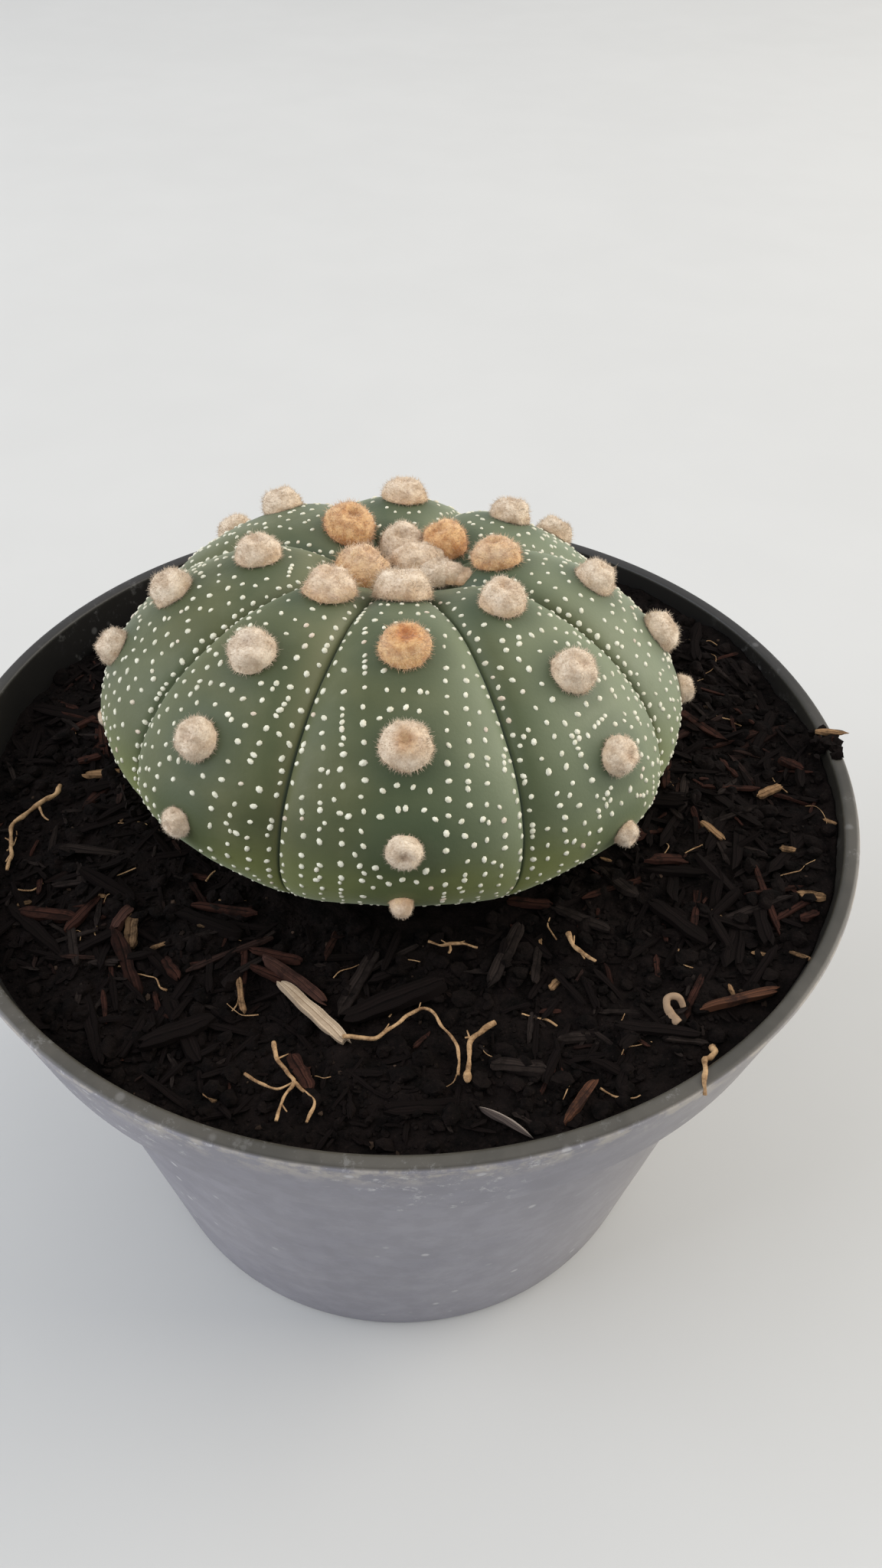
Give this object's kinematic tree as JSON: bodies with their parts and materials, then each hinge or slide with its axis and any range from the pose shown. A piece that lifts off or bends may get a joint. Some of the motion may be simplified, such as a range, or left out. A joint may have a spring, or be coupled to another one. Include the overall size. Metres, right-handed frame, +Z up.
{
  "type": "potted round cactus",
  "caption": "Squat ribbed star cactus with woolly areole tufts, planted in dark bark soil in a tapered round plastic nursery pot.",
  "frame": {"origin": "centre of the pot's underside, on the surface that the pot stands on", "axes": "+Z up along the pot's axis, -Y towards the front rib of the cactus, +X to its right"},
  "size_m": [0.12, 0.12, 0.1129],
  "materials": {
    "pot_plastic": "matt dark grey moulded plastic, dusty and scuffed",
    "soil": "near-black peat and composted bark, matt and crumbly",
    "cactus_skin": "matt sage green skin with small raised white flecks",
    "pale_wool": "felted cream wool with a fuzzy edge",
    "orange_wool": "felted ochre wool of the young tufts at the crown",
    "pale_wood": "dry split pale wood",
    "bark": "dark brown shredded bark",
    "red_bark": "reddish brown bark chip",
    "grey_leaf": "grey brown dead leaf",
    "root": "dry tan rootlet"
  },
  "bodies": {
    "root": {"bark_shred": "bark", "bark_stick": "red_bark", "cactus_body": "cactus_skin", "crown_wool": "pale_wool", "curled_chip": "pale_wood", "forked_twig": "root", "front_rootlet": "root", "leaf_sliver": "grey_leaf", "left_bark_chip": "bark", "left_rootlet": "root", "long_rootlet": "root", "neck_rootlet": "root", "pot": "pot_plastic", "red_bark_chip": "red_bark", "right_rootlet": "root", "rim_rootlet": "root", "soil": "soil", "tuft_back_1": "orange_wool", "tuft_back_2": "pale_wool", "tuft_back_3": "pale_wool", "tuft_back_4": "pale_wool", "tuft_back_5": "pale_wool", "tuft_back_6": "pale_wool", "tuft_back_left_1": "orange_wool", "tuft_back_left_2": "pale_wool", "tuft_back_left_3": "pale_wool", "tuft_back_left_4": "pale_wool", "tuft_back_right_1": "orange_wool", "tuft_back_right_2": "pale_wool", "tuft_back_right_3": "pale_wool", "tuft_back_right_4": "pale_wool", "tuft_back_right_5": "pale_wool", "tuft_front_1": "orange_wool", "tuft_front_2": "pale_wool", "tuft_front_3": "pale_wool", "tuft_front_4": "pale_wool", "tuft_front_5": "pale_wool", "tuft_front_left_1": "orange_wool", "tuft_front_left_2": "pale_wool", "tuft_front_left_3": "pale_wool", "tuft_front_left_4": "pale_wool", "tuft_front_right_1": "orange_wool", "tuft_front_right_2": "pale_wool", "tuft_front_right_3": "pale_wool", "tuft_front_right_4": "pale_wool", "tuft_left_1": "orange_wool", "tuft_left_2": "pale_wool", "tuft_left_3": "pale_wool", "tuft_left_4": "pale_wool", "tuft_left_5": "pale_wool", "tuft_right_1": "orange_wool", "tuft_right_2": "pale_wool", "tuft_right_3": "pale_wool", "tuft_right_4": "pale_wool", "wood_splinter": "pale_wood"}
  },
  "joints": []
}
